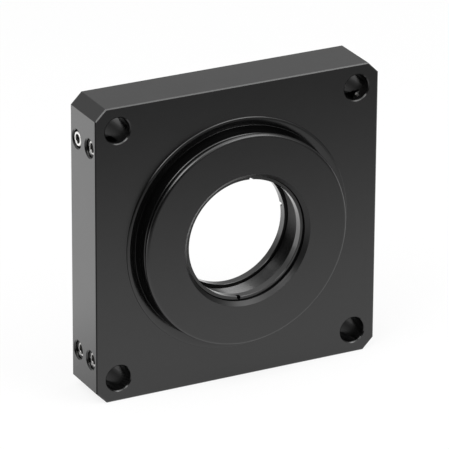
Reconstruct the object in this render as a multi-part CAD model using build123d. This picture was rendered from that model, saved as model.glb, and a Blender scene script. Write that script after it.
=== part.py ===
from build123d import *
import math
import os

# Optical cage plate for four rods, with a turned male dovetail on its front face.
# X is to the right and Z is up, seen from the front. The light runs along Y, and the
# dovetail faces -Y. The origin is on the optical axis, in the plate's front face.
# All sizes are millimetres. Threads are drawn plain, at the radius of their crests.

# Plate
rod_spacing = 60.0
rod_edge_distance = 5.56
plate_thickness = 12.7
corner_chamfer = 2.65
edge_break = 0.35

# Rod holes
rod_diameter = 6.0
rod_clearance = 0.03
rod_mouth_bevel = 0.4

# Male dovetail
dovetail_height = 5.0
rim_radius = 25.4
rim_round = 0.75
rim_land = 0.15
undercut = 1.25
flank_angle = 45.0
groove_floor = 0.25
collar_setback = 0.55
collar_bevel = 0.15

# Raised seat ring round the foot of the dovetail, dished inside a narrow flat land
seat_gap = 0.47
seat_width = 2.07
seat_height = 0.4
seat_bevel = 0.15
seat_land = 0.3
seat_dish = 0.2

# Bore for a 30 mm lens, threaded from the front mouth to the back of the web
bore_thread_radius = 15.25
thread_depth = 0.25
mouth_bevel = 0.65
bore_back_bevel = 0.3

# Wide threaded recess in the back, for a tube
recess_thread_radius = 25.85
recess_thread_depth = 0.35
recess_depth = 6.35
recess_relief_width = 1.2
recess_mouth_bevel = 0.5

# Retaining rings
ring_thickness = 2.0
ring_width = 0.87
ring_clearance = 0.03
ring_bevel = 0.15
slot_width = 0.9
slot_depth = 1.0
front_ring_recess = 1.5
rear_ring_recess = 0.15
front_ring_turn = 84.0
rear_ring_turn = 10.0

# Set screws, two to a rod, that wedge against its side
screw_diameter = 4.15
screw_length = 3.2
screw_clearance = 0.03
screw_head_bevel = 0.45
screw_point_length = 0.8
screw_point_radius = 1.25
socket_across_flats = 2.0
socket_depth = 1.5
screw_bite = 0.77
screw_face_distance = 3.175
screw_hole_depth = 6.2
screw_mouth_bevel = 0.3
screw_recess = 0.8
screw_recess_shallow = 0.25

# Tapped hole in the bottom edge, for a post
post_hole_radius = 1.65
post_hole_depth = 6.5
post_mouth_bevel = 0.4

# Angle at the point of a drill, and how far a cutter runs past a face
drill_point_angle = 118.0
overrun = 1.0

# Sizes that follow from those above
plate_side = rod_spacing + 2 * rod_edge_distance
half_side = plate_side / 2
rod_hole_radius = rod_diameter / 2 + rod_clearance
neck_radius = rim_radius - undercut
collar_radius = rim_radius - collar_setback
seat_inner_radius = rim_radius + seat_gap
seat_outer_radius = seat_inner_radius + seat_width
mouth_radius = bore_thread_radius + mouth_bevel
bore_radius = bore_thread_radius - thread_depth
recess_radius = recess_thread_radius - recess_thread_depth
web_back = plate_thickness - recess_depth
ring_outer_radius = bore_radius - ring_clearance
ring_inner_radius = ring_outer_radius - ring_width
screw_radius = screw_diameter / 2
screw_hole_radius = screw_radius + screw_clearance
screw_height = rod_spacing / 2 - (rod_diameter / 2 + screw_radius - screw_bite)


def turned(points):
    """Solid of revolution about Y, from a closed outline of (radius, y) points."""
    outline = make_face(Polyline(*points, close=True))
    return revolve(outline, Axis.Y)


def blind_hole(radius, depth, mouth_bevel, point_length):
    """Cutter for a blind hole that enters at y = 0 and runs along +Y to its point."""
    return turned([
        (0, -overrun),
        (radius + mouth_bevel, -overrun),
        (radius + mouth_bevel, 0),
        (radius, mouth_bevel),
        (radius, depth),
        (0, depth + point_length),
    ])


def along_x(side):
    """Turn that points +Y inwards from the left (-1) or right (+1) edge of the plate."""
    return Pos(side * half_side, 0, 0) * Rot(0, 0, 90 * side)


def blank_plate():
    """Square plate with bevelled corners and lightly broken edges."""
    outline = chamfer(Rectangle(plate_side, plate_side).vertices(), corner_chamfer)
    plate = extrude(Plane.XZ * outline, amount=-plate_thickness)
    front_edges = plate.faces().sort_by(Axis.Y)[0].edges()
    back_edges = plate.faces().sort_by(Axis.Y)[-1].edges()
    return chamfer(front_edges + back_edges, edge_break)


def dovetail():
    """Seat ring, collar and dovetail, turned in one piece with the plate."""
    flank_top = dovetail_height - rim_round - rim_land
    flank_foot = flank_top - undercut / math.tan(math.radians(flank_angle))
    collar_top = flank_foot - groove_floor
    seat_edge = seat_outer_radius - seat_bevel
    outline = make_face(Polyline(
        (0, overrun),
        (seat_outer_radius, overrun),
        (seat_outer_radius, seat_bevel - seat_height),
        (seat_edge, -seat_height),
        (seat_edge - seat_land, -seat_height),
        (seat_inner_radius, seat_dish - seat_height),
        (seat_inner_radius, 0),
        (collar_radius, 0),
        (collar_radius, collar_bevel - collar_top),
        (collar_radius - collar_bevel, -collar_top),
        (neck_radius, -collar_top),
        (neck_radius, -flank_foot),
        (rim_radius, -flank_top),
        (rim_radius, -dovetail_height),
        (0, -dovetail_height),
        close=True,
    ))
    rim = outline.vertices().sort_by_distance((rim_radius, -dovetail_height, 0))[0]
    return revolve(fillet(rim, rim_round), Axis.Y)


def optic_bore():
    """Cutter for the threaded bore, with its bevelled mouth, and the wide recess behind it."""
    front = -dovetail_height
    relief_end = web_back + recess_relief_width
    back = plate_thickness
    return turned([
        (0, front - overrun),
        (mouth_radius, front - overrun),
        (mouth_radius, front),
        (bore_radius, front + mouth_radius - bore_radius),
        (bore_radius, web_back - bore_back_bevel),
        (bore_radius + bore_back_bevel, web_back),
        (recess_thread_radius, web_back),
        (recess_thread_radius, relief_end),
        (recess_radius, relief_end),
        (recess_radius, back - recess_mouth_bevel),
        (recess_radius + recess_mouth_bevel, back),
        (recess_radius + recess_mouth_bevel, back + overrun),
        (0, back + overrun),
    ])


def rod_hole():
    """Cutter for one rod hole, with a bevel at each mouth."""
    wide = rod_hole_radius + rod_mouth_bevel
    return turned([
        (0, -overrun),
        (wide, -overrun),
        (wide, 0),
        (rod_hole_radius, rod_mouth_bevel),
        (rod_hole_radius, plate_thickness - rod_mouth_bevel),
        (wide, plate_thickness),
        (wide, plate_thickness + overrun),
        (0, plate_thickness + overrun),
    ])


def plate_body():
    """The machined plate, with its dovetail, bores and tapped holes."""
    body = blank_plate() + dovetail() - optic_bore()
    reach = rod_spacing / 2
    body -= [Pos(x, 0, z) * rod_hole() for x in (-reach, reach) for z in (-reach, reach)]
    screw_hole = blind_hole(screw_hole_radius, screw_hole_depth, screw_mouth_bevel, 0)
    body -= [seat * screw_hole for seat, _ in screw_seats().values()]
    drill_point = post_hole_radius / math.tan(math.radians(drill_point_angle / 2))
    post_hole = blind_hole(post_hole_radius, post_hole_depth, post_mouth_bevel, drill_point)
    body -= Pos(0, plate_thickness / 2, -half_side) * Rot(90, 0, 0) * post_hole
    return body


def retaining_ring(turn):
    """Threaded ring that faces -Y from y = 0, with two spanner slots in that face."""
    ring = turned([
        (ring_inner_radius, 0),
        (ring_outer_radius - ring_bevel, 0),
        (ring_outer_radius, ring_bevel),
        (ring_outer_radius, ring_thickness),
        (ring_inner_radius, ring_thickness),
    ])
    slot = Box(2 * ring_outer_radius + overrun, 2 * slot_depth, slot_width)
    return ring - Rot(0, -turn, 0) * slot


def set_screw():
    """Hex socket set screw, from y = 0 at its head to its point along +Y."""
    body = turned([
        (0, 0),
        (screw_radius - screw_head_bevel, 0),
        (screw_radius, screw_head_bevel),
        (screw_radius, screw_length - screw_point_length),
        (screw_point_radius, screw_length),
        (0, screw_length),
    ])
    hexagon = RegularPolygon(socket_across_flats / 2, 6, major_radius=False)
    return body - extrude(Plane.XZ * hexagon, amount=-socket_depth)


def screw_seats():
    """Place of each set screw's hole in the plate's edge, and how deep its head lies."""
    seats = {}
    for side_name, side in (("left", -1), ("right", 1)):
        for level_name, level in (("upper", 1), ("lower", -1)):
            for row_name, y in (("front", screw_face_distance),
                                ("rear", plate_thickness - screw_face_distance)):
                shallow = (side_name, level_name, row_name) == ("left", "upper", "rear")
                recess = screw_recess_shallow if shallow else screw_recess
                place = Pos(0, y, level * screw_height) * along_x(side)
                seats[f"set_screw_{side_name}_{level_name}_{row_name}"] = (place, recess)
    return seats


front_ring = Pos(0, front_ring_recess - dovetail_height, 0) * retaining_ring(front_ring_turn)
rear_face = Pos(0, web_back - rear_ring_recess, 0) * Rot(0, 0, 180)
rear_ring = rear_face * retaining_ring(180 - rear_ring_turn)

pieces = {
    "plate_body": plate_body(),
    "front_retaining_ring": front_ring,
    "rear_retaining_ring": rear_ring,
}
for name, (seat, recess) in screw_seats().items():
    pieces[name] = seat * Pos(0, recess, 0) * set_screw()

os.makedirs("parts", exist_ok=True)
for name, piece in pieces.items():
    export_step(piece, f"parts/{name}.step")
    low, high = piece.bounding_box().min, piece.bounding_box().max
    print(f"{name}: volume {piece.volume:.1f}, from {tuple(low)} to {tuple(high)}")
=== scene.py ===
import logging
import math
from dataclasses import dataclass, field
from enum import Enum
from typing import ClassVar, Sequence, Union

import bmesh
import bpy
from mathutils import Matrix, Vector


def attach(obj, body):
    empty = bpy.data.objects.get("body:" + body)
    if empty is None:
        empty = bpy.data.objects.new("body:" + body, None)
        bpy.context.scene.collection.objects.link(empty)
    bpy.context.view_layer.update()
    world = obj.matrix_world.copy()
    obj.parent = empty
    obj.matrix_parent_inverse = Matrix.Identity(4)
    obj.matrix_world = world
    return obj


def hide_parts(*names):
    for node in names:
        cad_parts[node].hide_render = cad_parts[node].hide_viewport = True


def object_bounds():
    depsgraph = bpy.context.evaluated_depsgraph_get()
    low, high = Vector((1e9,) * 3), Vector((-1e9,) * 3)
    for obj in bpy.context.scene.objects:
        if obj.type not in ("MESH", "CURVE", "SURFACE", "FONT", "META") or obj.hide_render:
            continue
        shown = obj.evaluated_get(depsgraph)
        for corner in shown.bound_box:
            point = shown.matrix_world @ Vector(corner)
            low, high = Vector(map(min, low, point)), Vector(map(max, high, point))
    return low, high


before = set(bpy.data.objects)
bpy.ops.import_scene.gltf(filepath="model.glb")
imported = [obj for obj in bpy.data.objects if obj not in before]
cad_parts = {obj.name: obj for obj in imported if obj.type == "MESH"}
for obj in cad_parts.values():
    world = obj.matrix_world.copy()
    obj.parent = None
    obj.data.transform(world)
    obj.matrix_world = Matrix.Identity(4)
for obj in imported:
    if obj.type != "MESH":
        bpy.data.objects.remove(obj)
cad_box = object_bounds()

# Shapes are modelled in millimetres and brought to metres as the last step of each mesh.
MM = 0.001

# Millimetres: points closer than WELD are merged, GUARD keeps the smooth shading of a
# rounding off the faces beside it, and a cutter runs OVERRUN past the faces that it cuts.
WELD = 1e-4
GUARD = 0.02
OVERRUN = 1.0

SHARP_EDGE = math.radians(24.0)
QUARTER_TURN = math.radians(90)

log = logging.getLogger("cage_plate")

Outline = list[tuple[float, float]]
Tint = tuple[float, float, float]
Number = Union[float, "Value"]

# A soft border: where a mask is 0, and where it is 1.
Border = tuple[float, float]


class Side(Enum):
    """Edge of the plate that a set screw goes in at."""

    LEFT = -1
    RIGHT = 1


class Level(Enum):
    """Upper or lower pair of rod holes."""

    UPPER = 1
    LOWER = -1


class Row(Enum):
    """Set screws near the front or near the back of the plate."""

    FRONT = 0
    REAR = 1


class Cut(Enum):
    """How one solid is combined with another."""

    JOIN = "UNION"
    TAKE_AWAY = "DIFFERENCE"


def turned(outline: Outline, steps: int) -> bmesh.types.BMesh:
    """Spin an outline about the Y axis into a closed solid.

    Args:
        outline: (radius, y) points. It starts and ends on the axis, or else it is closed.
        steps: number of flats round the axis.

    Returns:
        A new mesh in millimetres, with its faces outwards.
    """
    shape = bmesh.new()
    corners = [shape.verts.new((radius, y, 0.0)) for radius, y in outline]
    lines = [shape.edges.new(pair) for pair in zip(corners, corners[1:])]
    if min(radius for radius, _ in outline) > 0:
        lines.append(shape.edges.new((corners[-1], corners[0])))
    bmesh.ops.spin(
        shape,
        geom=corners + lines,
        cent=(0, 0, 0),
        axis=(0, 1, 0),
        dvec=(0, 0, 0),
        angle=math.tau,
        steps=steps,
        use_merge=True,
    )
    bmesh.ops.remove_doubles(shape, verts=shape.verts, dist=WELD)
    bmesh.ops.recalc_face_normals(shape, faces=shape.faces)
    return shape


def rounded(radius: float, y: float, size: float, steps: int) -> Outline:
    """Rounded corner between a wall and a face that looks to the front.

    Args:
        radius: radius of the wall.
        y: place of the face.
        size: radius of the rounding.
        steps: number of flats on it.

    Returns:
        The (radius, y) points from the wall to the face, with a guard point on each of
        them, so that the smooth shading of the rounding doesn't spread over them.
    """
    angles = [math.pi / 2 * step / steps for step in range(steps + 1)]
    arc = [
        (radius - size * (1 - math.cos(angle)), y + size * (1 - math.sin(angle)))
        for angle in angles
    ]
    return [(radius, y + size + GUARD), *arc, (radius - size - GUARD, y)]


def placed(shape: bmesh.types.BMesh, place: Matrix) -> bmesh.types.BMesh:
    """Move a mesh in its own space, and return it."""
    bmesh.ops.transform(shape, matrix=place, verts=shape.verts)
    return shape


def gathered(shapes: Sequence[bmesh.types.BMesh]) -> bmesh.types.BMesh:
    """Put several meshes that don't touch into the first one, and free the others.

    Args:
        shapes: the meshes. All but the first are freed.

    Returns:
        The first mesh, with the others in it.
    """
    whole = shapes[0]
    for shape in shapes[1:]:
        spare = bpy.data.meshes.new("spare")
        shape.to_mesh(spare)
        shape.free()
        whole.from_mesh(spare)
        bpy.data.meshes.remove(spare)
    return whole


def combined(body: bmesh.types.BMesh, tool: bmesh.types.BMesh, cut: Cut) -> bmesh.types.BMesh:
    """Join a solid with another or take it away, with the Boolean modifier.

    Args:
        body: the solid that is kept. It is freed.
        tool: the solid that is joined or taken away. It is freed.
        cut: which of the two.

    Returns:
        A new mesh of the result.
    """
    holders = []
    for name, shape in (("body", body), ("tool", tool)):
        mesh = bpy.data.meshes.new(name)
        shape.to_mesh(mesh)
        shape.free()
        holder = bpy.data.objects.new(name, mesh)
        bpy.context.scene.collection.objects.link(holder)
        holders.append(holder)
    kept, taken = holders
    modifier = kept.modifiers.new("cut", "BOOLEAN")
    modifier.object = taken
    modifier.operation = cut.value
    modifier.solver = "EXACT"
    result = bmesh.new()
    result.from_object(kept, bpy.context.evaluated_depsgraph_get())
    for holder in holders:
        mesh = holder.data
        bpy.data.objects.remove(holder)
        bpy.data.meshes.remove(mesh)
    bmesh.ops.remove_doubles(result, verts=result.verts, dist=WELD)
    return result


def finished(
    name: str, shape: bmesh.types.BMesh, material: bpy.types.Material, body: str
) -> bpy.types.Object:
    """Turn a mesh into a piece of the model that stands for the CAD node of its name.

    Args:
        name: name of the CAD node. The piece has the same name with "_shown" after it.
        shape: its mesh in millimetres. It is freed.
        material: its finish.
        body: the CAD body that it rides on.

    Returns:
        The new object, at the origin, with its place in its mesh.
    """
    bmesh.ops.scale(shape, vec=(MM, MM, MM), verts=shape.verts)
    mesh = bpy.data.meshes.new(f"{name}_shown")
    shape.to_mesh(mesh)
    shape.free()
    mesh.materials.append(material)
    mesh.shade_smooth()
    mesh.set_sharp_from_angle(angle=SHARP_EDGE)
    piece = bpy.data.objects.new(f"{name}_shown", mesh)
    bpy.context.scene.collection.objects.link(piece)
    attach(piece, body)
    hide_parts(name)
    triangles = sum(len(face.vertices) - 2 for face in mesh.polygons)
    log.info("%s: %d triangles, rides on %s", piece.name, triangles, body)
    return piece


class Value:
    """A number that changes over a surface, for sums written as Python expressions."""

    def __init__(self, tree: "NodeTree", socket: bpy.types.NodeSocket) -> None:
        """Wrap an output socket of a tree."""
        self.tree = tree
        self.socket = socket

    def _sum(self, operation: str, *terms: Number) -> "Value":
        """Add a Math node, and return its result."""
        node = self.tree.add(
            "ShaderNodeMath", {"operation": operation}, dict(enumerate(terms))
        )
        return self.tree.value(node)

    def __add__(self, other: Number) -> "Value":
        """self + other."""
        return self._sum("ADD", self, other)

    def __radd__(self, other: Number) -> "Value":
        """other + self."""
        return self._sum("ADD", other, self)

    def __sub__(self, other: Number) -> "Value":
        """self - other."""
        return self._sum("SUBTRACT", self, other)

    def __rsub__(self, other: Number) -> "Value":
        """other - self."""
        return self._sum("SUBTRACT", other, self)

    def __mul__(self, other: Number) -> "Value":
        """self * other."""
        return self._sum("MULTIPLY", self, other)

    def __rmul__(self, other: Number) -> "Value":
        """other * self."""
        return self._sum("MULTIPLY", other, self)

    def __truediv__(self, other: Number) -> "Value":
        """self / other."""
        return self._sum("DIVIDE", self, other)

    def __pow__(self, other: Number) -> "Value":
        """self ** other."""
        return self._sum("POWER", self, other)

    def __abs__(self) -> "Value":
        """Size without its sign."""
        return self._sum("ABSOLUTE", self)

    def root(self) -> "Value":
        """Square root."""
        return self._sum("SQRT", self)

    def higher_of(self, other: Number) -> "Value":
        """The larger of two."""
        return self._sum("MAXIMUM", self, other)

    def mask(self, border: Border) -> "Value":
        """Smooth step across a soft border.

        Args:
            border: the value at which the step is 0, and the value at which it is 1,
                which may be below it.

        Returns:
            The step, between 0 and 1.
        """
        zero, one = border
        sockets = {"Value": self, "From Min": zero, "From Max": one}
        node = self.tree.add(
            "ShaderNodeMapRange", {"interpolation_type": "SMOOTHSTEP"}, sockets
        )
        return self.tree.value(node)


@dataclass(frozen=True)
class Noise:
    """Blob size of a noise in millimetres, its finer octaves and how strong they are."""

    size: float
    detail: float = 2.0
    rough: float = 0.5


class NodeTree:
    """The nodes of a material or of the world, and the one way to add to them."""

    def __init__(self, owner: Union[bpy.types.Material, bpy.types.World]) -> None:
        """Empty the owner's tree and take it over.

        Args:
            owner: the material or the world.
        """
        owner.use_nodes = True
        self.nodes = owner.node_tree.nodes
        self.links = owner.node_tree.links
        self.nodes.clear()

    def add(
        self, kind: str, settings: dict | None = None, sockets: dict | None = None
    ) -> bpy.types.Node:
        """Add a node.

        Args:
            kind: the node's type.
            settings: what is set on the node, before its sockets.
            sockets: a value, Value or output socket for each input, by name or number.

        Returns:
            The new node.
        """
        node = self.nodes.new(kind)
        for key, setting in (settings or {}).items():
            setattr(node, key, setting)
        for key, value in (sockets or {}).items():
            if isinstance(value, Value):
                value = value.socket
            if isinstance(value, bpy.types.NodeSocket):
                self.links.new(value, node.inputs[key])
            else:
                node.inputs[key].default_value = value
        return node

    def value(self, node: bpy.types.Node, output: Union[str, int] = 0) -> Value:
        """One output of a node, for sums."""
        return Value(self, node.outputs[output])

    def axes(self, coordinates: str) -> list[Value]:
        """The x, y and z of one kind of coordinates.

        Args:
            coordinates: name of the Texture Coordinate node's output.

        Returns:
            The three values.
        """
        where = self.add("ShaderNodeTexCoord")
        parts = self.add("ShaderNodeSeparateXYZ", None, {0: where.outputs[coordinates]})
        return [self.value(parts, axis) for axis in range(3)]

    def place(self) -> list[Value]:
        """The x, y and z of a place on the object, in millimetres."""
        return [axis / MM for axis in self.axes("Object")]

    def point(self, x: Number, y: Number, z: Number) -> bpy.types.NodeSocket:
        """A vector made of three numbers."""
        return self.add("ShaderNodeCombineXYZ", None, {0: x, 1: y, 2: z}).outputs[0]

    def noise(self, point: bpy.types.NodeSocket, kind: Noise) -> Value:
        """Noise about zero.

        Args:
            point: where the noise is read, in millimetres.
            kind: how coarse and how rough it is.

        Returns:
            The noise, from -0.5 to 0.5.
        """
        sockets = {
            "Vector": point,
            "Scale": 1 / kind.size,
            "Detail": kind.detail,
            "Roughness": kind.rough,
        }
        return self.value(self.add("ShaderNodeTexNoise", None, sockets), "Fac") - 0.5

    def grey(self, level: Number, tint: Tint) -> bpy.types.NodeSocket:
        """A colour: a tint times a level, by Mix, because a Math node turns it grey."""
        mixed = self.add(
            "ShaderNodeMix",
            {"data_type": "RGBA", "blend_type": "MIX"},
            {0: level, 6: (0.0, 0.0, 0.0, 1.0), 7: (*tint, 1.0)},
        )
        return mixed.outputs[2]

    def bump(self, height: Value) -> bpy.types.NodeSocket:
        """The normal of a surface that has a height in millimetres."""
        sockets = {"Strength": 1.0, "Distance": MM, "Height": height}
        return self.add("ShaderNodeBump", None, sockets).outputs[0]

    def rays(self) -> tuple[Value, Value]:
        """Tell apart what looks at a surface.

        Returns:
            The mask of the rays that the camera sees, straight or through glass, and the
            mask of the glossy rays.
        """
        path = self.add("ShaderNodeLightPath")
        seen = self.value(path, "Is Camera Ray") + self.value(path, "Is Transmission Ray")
        return seen, self.value(path, "Is Glossy Ray")


@dataclass(frozen=True)
class AnodisedFinish:
    """Black anodised aluminium: satin grain, faint mottling, the tool's marks and painted shade.

    A noise's shade, rough and depth say how much it changes the colour, the roughness and
    the height, in millimetres. Painted shade is the share of the surface whose reflection is
    dimmed by a lower IOR, to paint shade in the groove, the rod holes, the mouth and on the side
    bevels.
    Borders are millimetres: "out" is a distance from the axis to the side, "off_middle"
    one from the middle of the thickness, and the groove's top and the mouth's foot are y.
    """

    name: str
    level: float = 0.003
    tint: Tint = (1.0, 1.0, 1.02)
    thickness: float = 12.7

    roughness: float = 0.20
    turned_roughness: float = 0.18
    bored_roughness: float = 0.19
    mouth_roughness: float = 0.36

    # Painted shade: the IOR of the plain and the dimmed reflection, and how much of each hollow
    # is dimmed.
    reflection: float = 1.70
    shaded_reflection: float = 1.22
    bevel_painted_shade: float = 0.85
    rod_hole_painted_shade: float = 0.85
    mouth_painted_shade: float = 0.35

    cloud: Noise = Noise(7.0, 3.0, 0.55)
    cloud_shade: float = 0.36
    cloud_rough: float = 0.08
    grain: Noise = Noise(0.12, 2.0, 0.6)
    grain_shade: float = 0.25
    grain_rough: float = 0.10
    grain_depth: float = 0.0025
    rings: Noise = Noise(0.32, 1.0)
    ring_depth: float = 0.0035
    coarse_rings: Noise = Noise(0.32, 0.0)
    coarse_layer: float = 4.0
    coarse_depth: float = 0.02
    broad_rings: Noise = Noise(1.92)
    broad_layer: float = 9.0
    broad_shade: float = 0.35
    broad_rough: float = 0.12
    streaks: Noise = Noise(0.45)
    streak_stretch: float = 0.05
    streak_depth: float = 0.002

    turned_border: Border = (28.22, 28.18)
    groove_inner: Border = (23.85, 23.9)
    groove_outer: Border = (25.9, 25.85)
    groove_top: Border = (-2.45, -2.35)
    mouth_border: Border = (15.94, 15.9)
    mouth_foot: Border = (-4.05, -4.15)
    rod_reach: float = 30.0
    rod_border: Border = (3.13, 3.08)
    bevel_out: Border = (35.29, 35.33)
    bevel_off_middle: Border = (6.08, 6.12)
    corner_start: float = 32.91
    edge_out: Border = (35.26, 35.36)
    edge_off_middle: Border = (6.15, 6.25)
    edge_gain: float = 4.0

    def material(self) -> bpy.types.Material:
        """Build the material.

        Returns:
            The material, with colour, roughness and bump that change over the surface.
        """
        material = bpy.data.materials.new(self.name)
        tree = NodeTree(material)
        x, y, z = tree.place()
        radius = (x * x + z * z).root()
        off_middle = abs(y - self.thickness / 2)
        off_rod = ((abs(x) - self.rod_reach) ** 2 + (abs(z) - self.rod_reach) ** 2).root()
        outside = abs(x).higher_of(abs(z)).higher_of((abs(x) + abs(z)) - self.corner_start)

        is_turned = radius.mask(self.turned_border)
        in_groove = radius.mask(self.groove_inner) * radius.mask(self.groove_outer)
        in_groove = in_groove * y.mask(self.groove_top)
        in_mouth = radius.mask(self.mouth_border) * y.mask(self.mouth_foot)
        in_rod_hole = off_rod.mask(self.rod_border)
        on_side_bevel = abs(x).mask(self.bevel_out) * off_middle.mask(self.bevel_off_middle)
        worn = off_middle.mask(self.edge_off_middle) * outside.mask(self.edge_out)

        # Concentric marks follow the radius and the depth, whichever the surface crosses.
        rings = tree.noise(tree.point(radius, y, 0.0), self.rings)
        coarse_rings = tree.noise(tree.point(radius, y, self.coarse_layer), self.coarse_rings)
        broad_rings = tree.noise(tree.point(radius, y, self.broad_layer), self.broad_rings)
        along_edges = tree.point(x * self.streak_stretch, y, z * self.streak_stretch)
        streaks = tree.noise(along_edges, self.streaks)
        point = tree.point(x, y, z)
        cloud = tree.noise(point, self.cloud)
        grain = tree.noise(point, self.grain)

        shade = cloud * self.cloud_shade + grain * self.grain_shade
        shade = shade + is_turned * broad_rings * self.broad_shade
        level = self.level * (1 + shade + worn * (self.edge_gain - 1))

        roughness = self.roughness + is_turned * (self.turned_roughness - self.roughness)
        roughness = roughness + in_rod_hole * (self.bored_roughness - self.roughness)
        roughness = roughness + in_mouth * (self.mouth_roughness - self.turned_roughness)
        roughness = roughness + cloud * self.cloud_rough + grain * self.grain_rough
        roughness = roughness + is_turned * broad_rings * self.broad_rough

        height = grain * self.grain_depth + is_turned * rings * self.ring_depth
        height = height + in_groove.higher_of(in_mouth) * coarse_rings * self.coarse_depth
        height = height + (1 - is_turned) * streaks * self.streak_depth

        # Painted shade: a lower IOR dims the reflection in the groove, the rod holes, the mouth
        # cone and on the side bevels.
        painted_shade = in_groove.higher_of(on_side_bevel * self.bevel_painted_shade)
        painted_shade = painted_shade.higher_of(in_rod_hole * self.rod_hole_painted_shade)
        painted_shade = painted_shade.higher_of(in_mouth * self.mouth_painted_shade)
        surface = {
            "Base Color": tree.grey(level, self.tint),
            "Roughness": roughness,
            "Normal": tree.bump(height),
        }
        satin, shaded_satin = (
            tree.add("ShaderNodeBsdfPrincipled", None, {**surface, "IOR": index}).outputs[0]
            for index in (self.reflection, self.shaded_reflection)
        )
        mixed = tree.add("ShaderNodeMixShader", None, {0: painted_shade, 1: satin, 2: shaded_satin})
        tree.add("ShaderNodeOutputMaterial", None, {0: mixed.outputs[0]})
        return material


@dataclass(frozen=True)
class SteelFinish:
    """Bright plated steel of the set screws, with painted shade round the thread and in the
    socket.

    Sizes are millimetres. The thread's and the socket's borders are distances from the
    screw's axis, and the socket's end is one from the middle of the plate.
    """

    name: str
    level: float = 0.88
    tint: Tint = (1.0, 0.99, 0.97)
    roughness: float = 0.40

    base_shade: float = 0.92
    cloud: Noise = Noise(1.1, 3.0, 0.6)
    cloud_shade: float = 0.30
    cloud_rough: float = 0.16
    grain: Noise = Noise(0.10, 2.0, 0.6)
    grain_shade: float = 0.12
    grain_depth: float = 0.0015
    scratches: Noise = Noise(0.09, 1.0)
    scratch_stretch: float = 0.15
    scratch_rough: float = 0.10
    scratch_depth: float = 0.001

    mid_plate: float = 6.35
    row_reach: float = 3.175
    height: float = 25.695
    # Painted shade: darker on the thread and its bevel, down in the hole, and in the hex socket.
    thread_border: Border = (1.62, 1.74)
    thread_shade_gain: float = 0.25
    socket_border: Border = (1.18, 1.14)
    socket_end: Border = (32.7, 33.0)
    socket_shade_gain: float = 0.35

    def material(self) -> bpy.types.Material:
        """Build the material.

        Returns:
            The material, with fine scratches and a cloudy plated sheen.
        """
        material = bpy.data.materials.new(self.name)
        tree = NodeTree(material)
        x, y, z = tree.place()
        sideways = abs(y - self.mid_plate) - self.row_reach
        off_axis = (sideways ** 2 + (abs(z) - self.height) ** 2).root()
        shaded_thread = off_axis.mask(self.thread_border)
        shaded_socket = off_axis.mask(self.socket_border) * abs(x).mask(self.socket_end)

        point = tree.point(x, y, z)
        cloud = tree.noise(point, self.cloud)
        grain = tree.noise(point, self.grain)
        scratches = tree.noise(tree.point(x * self.scratch_stretch, y, z), self.scratches)

        shade = self.base_shade + cloud * self.cloud_shade + grain * self.grain_shade
        # Painted shade on the thread, down in the hole, and in the hex socket.
        level = self.level * shade * (1 - shaded_thread * (1 - self.thread_shade_gain))
        level = level * (1 - shaded_socket * (1 - self.socket_shade_gain))
        roughness = self.roughness + cloud * self.cloud_rough + scratches * self.scratch_rough
        height = grain * self.grain_depth + scratches * self.scratch_depth
        surface = {
            "Base Color": tree.grey(level, self.tint),
            "Metallic": 1.0,
            "Roughness": roughness,
            "Normal": tree.bump(height),
        }
        shader = tree.add("ShaderNodeBsdfPrincipled", None, surface)
        tree.add("ShaderNodeOutputMaterial", None, {0: shader.outputs[0]})
        return material


@dataclass(frozen=True)
class Thread:
    """A thread drawn as a row of V grooves between its crest and its root.

    A flat is half the width of the crest or of the root, as a share of the pitch.
    """

    crest: float
    root: float
    pitch: float
    crest_flat: float = 0.015
    root_flat: float = 0.04

    def grooves(self, start: float, end: float) -> Outline:
        """Outline of the grooves along a stretch of the axis.

        Args:
            start: y where the threaded stretch starts.
            end: y where it ends. It may be below start.

        Returns:
            The (radius, y) points, from start to end, on the crest at both ends.
        """
        span = end - start
        turns = max(1, int(abs(span) / self.pitch))
        pitch = math.copysign(self.pitch, span)
        first = start + (span - pitch * turns) / 2
        groove = (
            (self.crest, self.crest_flat),
            (self.root, 0.5 - self.root_flat),
            (self.root, 0.5 + self.root_flat),
            (self.crest, 1 - self.crest_flat),
        )
        row = [
            (radius, first + pitch * turn + pitch * share)
            for turn in range(turns)
            for radius, share in groove
        ]
        return [(self.crest, start), *row, (self.crest, end)]


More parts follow.
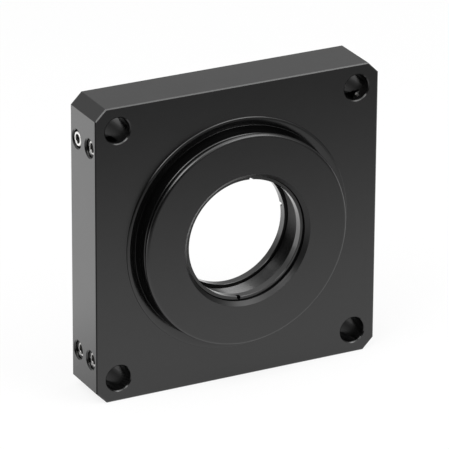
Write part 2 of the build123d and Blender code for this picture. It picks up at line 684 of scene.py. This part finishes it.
@dataclass
class MachinedPlate:
    """The plate: square blank, dovetail with its seat ring, bores and tapped holes.

    Sizes are millimetres. The seat ring has a narrow lip outside, a dished face and a
    fine ridge inside, and edge_round is the rounding of its edge and the collar's.
    """

    name: ClassVar[str] = "plate_body"
    body: ClassVar[str] = "plate"
    slot: ClassVar[str] = "black_anodised_plate"

    side: float = 71.12
    thickness: float = 12.7
    corner_chamfer: float = 2.65
    edge_break: float = 0.25

    rod_reach: float = 30.0
    rod_hole_radius: float = 3.03
    rod_mouth_bevel: float = 0.28

    dovetail_height: float = 5.0
    rim_radius: float = 25.4
    rim_round: float = 0.75
    rim_land: float = 0.15
    undercut: float = 1.25
    groove_floor: float = 0.25
    collar_setback: float = 0.55
    corner_radius: float = 0.06
    edge_round: float = 0.28

    seat_gap: float = 0.47
    seat_width: float = 2.07
    seat_height: float = 0.4
    seat_land: float = 0.36
    seat_lip: float = 0.06
    seat_lip_width: float = 0.3
    seat_dish: float = 0.2
    ridge_height: float = 0.016
    ridge_crest: float = 0.016
    ridge_foot: float = 0.048

    mouth_radius: float = 15.9
    plain_lead: float = 0.8
    web_back: float = 6.35
    bore_back_bevel: float = 0.3
    relief_width: float = 1.2
    recess_mouth_bevel: float = 0.5

    screw_hole_depth: float = 6.2
    screw_mouth_bevel: float = 0.3
    post_hole_depth: float = 6.5
    post_hole_point: float = 1.0
    post_mouth_bevel: float = 0.4

    lens_thread: Thread = Thread(15.0, 15.25, 0.5)
    tube_thread: Thread = Thread(25.5, 25.85, 0.635)
    screw_thread: Thread = Thread(2.105, 2.34, 0.79)
    post_thread: Thread = Thread(1.65, 1.97, 0.79)

    turned_steps: int = 256
    hole_steps: int = 96
    rim_steps: int = 12
    edge_steps: int = 5

    def blank(self) -> bmesh.types.BMesh:
        """Square plate with bevelled corners and broken edges.

        Returns:
            A new mesh, from y = 0 to the back face.
        """
        shape = bmesh.new()
        bmesh.ops.create_cube(shape, size=1.0)
        bmesh.ops.scale(shape, vec=(self.side, self.thickness, self.side), verts=shape.verts)
        bmesh.ops.translate(shape, vec=(0, self.thickness / 2, 0), verts=shape.verts)
        corners = [edge for edge in shape.edges if self.runs_through(edge)]
        self.bevelled(shape, corners, self.corner_chamfer)
        outline = [edge for edge in shape.edges if not self.runs_through(edge)]
        self.bevelled(shape, outline, self.edge_break)
        return shape

    def runs_through(self, edge: bmesh.types.BMEdge) -> bool:
        """Whether an edge of the blank runs from its front face to its back."""
        return abs(edge.verts[0].co.y - edge.verts[1].co.y) > self.thickness / 2

    @staticmethod
    def bevelled(
        shape: bmesh.types.BMesh, edges: Sequence[bmesh.types.BMEdge], width: float
    ) -> None:
        """Bevel some edges of a mesh with one flat.

        Args:
            shape: the mesh.
            edges: its edges that are bevelled.
            width: how far the bevel reaches on each face.
        """
        bmesh.ops.bevel(
            shape,
            geom=list(edges),
            offset=width,
            offset_type="OFFSET",
            affect="EDGES",
            segments=1,
            profile=0.5,
            material=-1,
        )

    def dovetail(self) -> bmesh.types.BMesh:
        """Seat ring, collar and undercut dovetail, as one turned solid.

        Returns:
            A new mesh that reaches into the middle of the plate.
        """
        root = self.thickness / 2
        neck = self.rim_radius - self.undercut
        collar = self.rim_radius - self.collar_setback
        seat_inner = self.rim_radius + self.seat_gap
        seat_outer = seat_inner + self.seat_width
        seat_low = self.seat_dish - self.seat_height
        seat_edge = seat_outer - self.edge_round
        lip = self.seat_lip - self.seat_height
        flank_top = self.dovetail_height - self.rim_round - self.rim_land
        flank_foot = flank_top - self.undercut
        collar_top = flank_foot - self.groove_floor
        small = self.corner_radius
        return turned(
            [
                (0, root),
                (seat_outer, root),
                *rounded(seat_outer, lip, self.edge_round, self.edge_steps),
                (seat_edge - self.seat_lip_width, -self.seat_height),
                (seat_edge - self.seat_land, -self.seat_height),
                (seat_inner + self.ridge_foot, seat_low),
                (seat_inner + self.ridge_crest, seat_low - self.ridge_height),
                (seat_inner, seat_low),
                (seat_inner, 0),
                (collar, 0),
                *rounded(collar, -collar_top, self.edge_round, self.edge_steps),
                (neck + small, -collar_top),
                (neck, -collar_top - small),
                (neck, -flank_foot),
                (self.rim_radius, -flank_top),
                *rounded(self.rim_radius, -self.dovetail_height, self.rim_round, self.rim_steps),
                (0, -self.dovetail_height),
            ],
            self.turned_steps,
        )

    def optic_bore(self) -> bmesh.types.BMesh:
        """Cutter for the mouth, the threaded bore and the wide threaded recess.

        Returns:
            The cutter, which runs past both ends.
        """
        front = -self.dovetail_height
        back = self.thickness
        crest = self.lens_thread.crest
        wide = self.tube_thread.crest + self.recess_mouth_bevel
        cone_end = front + self.mouth_radius - crest
        relief_end = self.web_back + self.relief_width
        return turned(
            [
                (0, front - OVERRUN),
                (self.mouth_radius, front - OVERRUN),
                (self.mouth_radius, front),
                (crest, cone_end),
                *self.lens_thread.grooves(
                    cone_end + self.plain_lead, self.web_back - self.bore_back_bevel
                ),
                (crest + self.bore_back_bevel, self.web_back),
                (self.tube_thread.root, self.web_back),
                (self.tube_thread.root, relief_end),
                *self.tube_thread.grooves(relief_end, back - self.recess_mouth_bevel),
                (wide, back),
                (wide, back + OVERRUN),
                (0, back + OVERRUN),
            ],
            self.turned_steps,
        )

    def rod_holes(self) -> bmesh.types.BMesh:
        """Cutters for the four rod holes, with a bevel at each mouth.

        Returns:
            The four cutters in one mesh.
        """
        bore = self.rod_hole_radius
        wide = bore + self.rod_mouth_bevel
        outline = [
            (0, -OVERRUN),
            (wide, -OVERRUN),
            (wide, 0),
            (bore, self.rod_mouth_bevel),
            (bore, self.thickness - self.rod_mouth_bevel),
            (wide, self.thickness),
            (wide, self.thickness + OVERRUN),
            (0, self.thickness + OVERRUN),
        ]
        reach = self.rod_reach
        return gathered([
            placed(turned(outline, self.hole_steps), Matrix.Translation((x, 0, z)))
            for x in (-reach, reach)
            for z in (-reach, reach)
        ])

    def tapped_hole(
        self, thread: Thread, depth: float, bevel: float, point: float = 0.0
    ) -> bmesh.types.BMesh:
        """Cutter for a blind tapped hole that enters at y = 0 and runs along +Y.

        Args:
            thread: its thread.
            depth: depth of its straight wall.
            bevel: bevel at its mouth.
            point: length of the cone that the drill leaves.

        Returns:
            The cutter, in millimetres.
        """
        wide = thread.crest + bevel
        return turned(
            [
                (0, -OVERRUN),
                (wide, -OVERRUN),
                (wide, 0),
                *thread.grooves(bevel, depth),
                (0, depth + point),
            ],
            self.hole_steps,
        )

    def cross_holes(self) -> bmesh.types.BMesh:
        """Cutters for the eight set screw holes and the post hole.

        Returns:
            The nine cutters in one mesh.
        """
        holes = [
            placed(
                self.tapped_hole(
                    self.screw_thread, self.screw_hole_depth, self.screw_mouth_bevel
                ),
                SetScrew(side, level, row).seat(),
            )
            for side in Side
            for level in Level
            for row in Row
        ]
        post = self.tapped_hole(
            self.post_thread, self.post_hole_depth, self.post_mouth_bevel, self.post_hole_point
        )
        mouth = Matrix.Translation((0, self.thickness / 2, -self.side / 2))
        holes.append(placed(post, mouth @ Matrix.Rotation(QUARTER_TURN, 4, "X")))
        return gathered(holes)

    def build(self, material: bpy.types.Material) -> bpy.types.Object:
        """Machine the plate.

        Args:
            material: its finish.

        Returns:
            The piece that stands for the CAD node.
        """
        shape = combined(self.blank(), self.dovetail(), Cut.JOIN)
        shape = combined(shape, gathered([self.optic_bore(), self.rod_holes()]), Cut.TAKE_AWAY)
        shape = combined(shape, self.cross_holes(), Cut.TAKE_AWAY)
        return finished(self.name, shape, material, self.body)


@dataclass
class RetainingRing:
    """Thin threaded ring with two spanner slots in its face.

    The face that has the slots is at y = face, and turn is the angle of the slots from
    +X towards +Z in degrees. Sizes are millimetres.
    """

    name: str
    body: str
    face: float
    turn: float
    faces_front: bool
    slot: ClassVar[str] = "black_anodised_ring"
    outer_radius: float = 14.97
    inner_radius: float = 14.10
    thickness: float = 2.0
    bevel: float = 0.15
    inner_bevel: float = 0.08
    slot_width: float = 0.9
    slot_depth: float = 1.0
    thread: Thread = Thread(14.97, 14.72, 0.5)
    steps: int = 256

    def place(self) -> Matrix:
        """Place of the ring in the bore.

        Returns:
            The matrix that brings the ring there from y = 0.
        """
        spin = Matrix.Rotation(math.radians(-self.turn), 4, "Y")
        flip = Matrix.Rotation(0.0 if self.faces_front else math.pi, 4, "Z")
        return Matrix.Translation((0, self.face, 0)) @ spin @ flip

    def build(self, material: bpy.types.Material) -> bpy.types.Object:
        """Turn the ring, slot it and put it in the bore.

        Args:
            material: its finish.

        Returns:
            The piece that stands for the CAD node.
        """
        eased = self.inner_radius + self.inner_bevel
        ring = turned(
            [
                (eased, 0),
                (self.outer_radius - self.bevel, 0),
                *self.thread.grooves(self.bevel, self.thickness),
                (eased, self.thickness),
                (self.inner_radius, self.thickness - self.inner_bevel),
                (self.inner_radius, self.inner_bevel),
            ],
            self.steps,
        )
        cutter = bmesh.new()
        bmesh.ops.create_cube(cutter, size=1.0)
        size = (2 * self.outer_radius + OVERRUN, 2 * self.slot_depth, self.slot_width)
        bmesh.ops.scale(cutter, vec=size, verts=cutter.verts)
        ring = placed(combined(ring, cutter, Cut.TAKE_AWAY), self.place())
        return finished(self.name, ring, material, self.body)


@dataclass
class SetScrew:
    """Hex socket set screw in the edge of the plate, that wedges against a rod.

    Sizes are millimetres. The lead-in is the cone that eases the mouth of the socket.
    """

    side: Side
    level: Level
    row: Row
    slot: ClassVar[str] = "bright_screw"
    plate_side: float = 71.12
    plate_thickness: float = 12.7
    height: float = 25.695
    face_distance: float = 3.175
    recess: float = 0.8
    shallow_recess: float = 0.25
    radius: float = 2.075
    length: float = 3.2
    head_bevel: float = 0.5
    point_length: float = 0.8
    point_radius: float = 1.25
    across_flats: float = 2.0
    socket_depth: float = 1.5
    socket_bevel: float = 0.12
    lead_in_flare: float = 0.5
    lead_in_tip: float = 0.4
    thread: Thread = Thread(2.075, 1.85, 0.79)
    steps: int = 96

    @property
    def place_name(self) -> str:
        """Side, level and row as they stand in the CAD names."""
        return "_".join(part.name.lower() for part in (self.side, self.level, self.row))

    @property
    def head_depth(self) -> float:
        """How deep the head lies. One of the eight screws stands further out."""
        shallow = (self.side, self.level, self.row) == (Side.LEFT, Level.UPPER, Row.REAR)
        return self.shallow_recess if shallow else self.recess

    @property
    def corner_radius(self) -> float:
        """Distance of the socket's corners from the axis."""
        return self.across_flats / 2 / math.cos(math.pi / 6)

    def seat(self) -> Matrix:
        """Place of the hole's mouth.

        Returns:
            The matrix that brings a screw or a hole there, with +Y turned inwards along X.
        """
        depth = self.face_distance
        if self.row is Row.REAR:
            depth = self.plate_thickness - depth
        mouth = (self.side.value * self.plate_side / 2, depth, self.level.value * self.height)
        inwards = Matrix.Rotation(QUARTER_TURN * self.side.value, 4, "Z")
        return Matrix.Translation(mouth) @ inwards

    def socket(self) -> bmesh.types.BMesh:
        """Cutter for the hex socket.

        Returns:
            The cutter, which reaches as far in front of the head as into it.
        """
        shape = bmesh.new()
        bmesh.ops.create_cone(
            shape,
            cap_ends=True,
            segments=6,
            radius1=self.corner_radius,
            radius2=self.corner_radius,
            depth=2 * self.socket_depth,
            matrix=Matrix.Rotation(QUARTER_TURN, 4, "X"),
        )
        return shape

    def lead_in(self) -> bmesh.types.BMesh:
        """Cutter for the cone at the mouth of the socket."""
        return turned(
            [
                (0, -OVERRUN),
                (self.corner_radius + self.lead_in_flare, -OVERRUN),
                (self.corner_radius - self.socket_bevel, self.socket_bevel),
                (0, self.lead_in_tip),
            ],
            self.steps,
        )

    def build(self, material: bpy.types.Material) -> bpy.types.Object:
        """Turn the screw, broach its socket and put it in its hole.

        Args:
            material: its finish.

        Returns:
            The piece that stands for the CAD node.
        """
        screw = turned(
            [
                (0, 0),
                (self.radius - self.head_bevel, 0),
                *self.thread.grooves(self.head_bevel, self.length - self.point_length),
                (self.point_radius, self.length),
                (0, self.length),
            ],
            self.steps,
        )
        screw = combined(screw, self.socket(), Cut.TAKE_AWAY)
        screw = combined(screw, self.lead_in(), Cut.TAKE_AWAY)
        screw = placed(screw, self.seat() @ Matrix.Translation((0, self.head_depth, 0)))
        name = f"set_screw_{self.place_name}"
        return finished(name, screw, material, f"screw_{self.place_name}")


@dataclass(frozen=True)
class Lamp:
    """A soft box: a flat area lamp that looks at the part, in metres and watts."""

    name: str
    place: tuple[float, float, float]
    width: float
    depth: float
    power: float
    aim: tuple[float, float, float] = (0.0, 0.0, 0.0)

    def build(self) -> bpy.types.Object:
        """Hang the lamp.

        Returns:
            The lamp.
        """
        data = bpy.data.lights.new(self.name, "AREA")
        data.shape = "RECTANGLE"
        data.size = self.width
        data.size_y = self.depth
        data.energy = self.power
        lamp = bpy.data.objects.new(self.name, data)
        lamp.location = self.place
        towards = Vector(self.aim) - Vector(self.place)
        lamp.rotation_euler = towards.to_track_quat("-Z", "Y").to_euler()
        bpy.context.scene.collection.objects.link(lamp)
        return lamp


@dataclass
class Studio:
    """Pale floor, soft boxes, white surroundings and the camera.

    The camera sees the floor and the room as plain white. Glossy surfaces see them
    shaded, the floor by its place and the room by its direction. The floor's gap and
    borders are millimetres, other lengths metres, and the camera's angles degrees.
    """

    floor_size: float = 6.0
    floor_gap: float = 0.02
    floor_level: float = 0.82
    floor_shown: float = 0.80
    floor_white: float = 1.06
    floor_behind: float = 1.5
    floor_near: float = 0.8
    floor_far: float = 0.05
    floor_dim: float = 0.4
    near_border: Border = (-190.0, -10.0)
    behind_border: Border = (0.0, 60.0)
    dim_border_x: Border = (-50.0, -100.0)
    dim_border_y: Border = (40.0, 0.0)

    room_ambient: float = 0.45
    room_front: float = 0.04
    room_high: float = 0.58
    room_side: float = 0.26
    glow_top: float = 0.5
    glow_aim: tuple[float, float, float] = (0.42, -0.72, 0.55)
    glow_level: float = 0.9
    behind_direction: Border = (-0.2, 0.5)
    high_direction: Border = (0.0, 0.35)
    glow_direction: Border = (0.75, 0.95)
    top_direction: Border = (0.3, 0.8)
    side_direction: Border = (0.55, 0.95)

    camera_turn: float = -27.225
    camera_pitch: float = 22.774
    camera_roll: float = 0.332
    camera_aim: tuple[float, float, float] = (-0.0023691, 0.0020334, 0.0017253)
    camera_distance: float = 1.0023958
    camera_lens: float = 355.76
    camera_sensor: float = 36.0
    camera_reach: float = 20.0

    lamps: list[Lamp] = field(
        default_factory=lambda: [
            Lamp("top_box", (0.0, -0.17, 0.80), 1.5, 0.65, 4.0, (0.0, -0.17, 0.0)),
            Lamp("key_box", (0.38, -0.58, 0.58), 0.5, 0.5, 2.0),
            Lamp("left_box", (-0.52, -0.30, 0.69), 0.6, 0.42, 2.6),
        ]
    )

    def floor_material(self) -> bpy.types.Material:
        """Pale paint, white to the camera except for the shadow.

        Returns:
            The material.
        """
        material = bpy.data.materials.new("pale_floor")
        tree = NodeTree(material)
        seen, glossy = tree.rays()
        x, y, _ = tree.place()
        mirrored = self.floor_far + y.mask(self.near_border) * (self.floor_near - self.floor_far)
        dimmed = x.mask(self.dim_border_x) * y.mask(self.dim_border_y) * self.floor_dim
        mirrored = mirrored * (1 - dimmed)
        mirrored = mirrored + y.mask(self.behind_border) * (self.floor_behind - self.floor_near)
        level = (self.floor_level, self.floor_level, self.floor_level, 1.0)
        paint = tree.add("ShaderNodeBsdfDiffuse", None, {"Color": level})
        shown = seen * self.floor_white + glossy * mirrored
        white = tree.add("ShaderNodeEmission", None, {"Strength": shown})
        share = (seen + glossy) * self.floor_shown
        mixed = tree.add(
            "ShaderNodeMixShader", None, {0: share, 1: paint.outputs[0], 2: white.outputs[0]}
        )
        tree.add("ShaderNodeOutputMaterial", None, {0: mixed.outputs[0]})
        return material

    def floor(self) -> bpy.types.Object:
        """Plain floor, a hair below the part, so that the two don't share a plane.

        Returns:
            The floor, which belongs to the studio, not to the part.
        """
        shape = bmesh.new()
        bmesh.ops.create_grid(shape, x_segments=1, y_segments=1, size=self.floor_size / 2)
        lowest = Vector(cad_box[0]).z - self.floor_gap * MM
        bmesh.ops.translate(shape, vec=(0, 0, lowest), verts=shape.verts)
        mesh = bpy.data.meshes.new("floor")
        shape.to_mesh(mesh)
        shape.free()
        mesh.materials.append(self.floor_material())
        floor = bpy.data.objects.new("floor", mesh)
        bpy.context.scene.collection.objects.link(floor)
        return floor

    def surroundings(self) -> None:
        """Room that mirrors bright behind the part and dim in front, with soft glows."""
        world = bpy.data.worlds.new("room")
        bpy.context.scene.world = world
        tree = NodeTree(world)
        seen, glossy = tree.rays()
        x, y, z = tree.axes("Generated")
        backdrop = 1 - z.mask(self.high_direction) * (1 - self.room_high)
        behind = y.mask(self.behind_direction)
        mirrored = self.room_front + behind * (backdrop - self.room_front)
        aim = Vector(self.glow_aim).normalized()
        towards = x * aim.x + y * aim.y + z * aim.z
        mirrored = mirrored + towards.mask(self.glow_direction) * self.glow_level
        mirrored = mirrored + z.mask(self.top_direction) * self.glow_top
        mirrored = mirrored + x.mask(self.side_direction) * self.room_side
        strength = seen + glossy * mirrored + (1 - seen - glossy) * self.room_ambient
        light = tree.add("ShaderNodeBackground", None, {"Strength": strength})
        tree.add("ShaderNodeOutputWorld", None, {0: light.outputs[0]})

    def camera(self) -> bpy.types.Object:
        """Camera at the photograph's viewing angle.

        Returns:
            The scene's camera.
        """
        data = bpy.data.cameras.new("camera")
        data.lens = self.camera_lens
        data.sensor_width = self.camera_sensor
        data.clip_end = self.camera_reach
        camera = bpy.data.objects.new("camera", data)
        turn = Matrix.Rotation(math.radians(self.camera_turn), 4, "Z")
        pitch = Matrix.Rotation(QUARTER_TURN - math.radians(self.camera_pitch), 4, "X")
        roll = Matrix.Rotation(math.radians(self.camera_roll), 4, "Z")
        away = Matrix.Translation((0, 0, self.camera_distance))
        camera.matrix_world = Matrix.Translation(self.camera_aim) @ turn @ pitch @ roll @ away
        bpy.context.scene.collection.objects.link(camera)
        bpy.context.scene.camera = camera
        return camera

    def build(self) -> None:
        """Set up everything that isn't part of the object."""
        bpy.context.scene.view_settings.view_transform = "Standard"
        self.camera()
        self.floor()
        self.surroundings()
        for lamp in self.lamps:
            lamp.build()


def main() -> None:
    """Build the part and the studio, in order."""
    logging.basicConfig(level=logging.INFO, format="%(message)s")
    Studio().build()
    plate_finish = AnodisedFinish("black_anodised_plate").material()
    ring_finish = AnodisedFinish("black_anodised_ring", roughness=0.36).material()
    steel_finish = SteelFinish("bright_screw").material()
    MachinedPlate().build(plate_finish)
    RetainingRing(
        "front_retaining_ring", "front_ring", face=-3.5, turn=84.0, faces_front=True
    ).build(ring_finish)
    RetainingRing(
        "rear_retaining_ring", "rear_ring", face=6.2, turn=10.0, faces_front=False
    ).build(ring_finish)
    for side in Side:
        for level in Level:
            for row in Row:
                SetScrew(side, level, row).build(steel_finish)


if __name__ == "__main__":
    main()
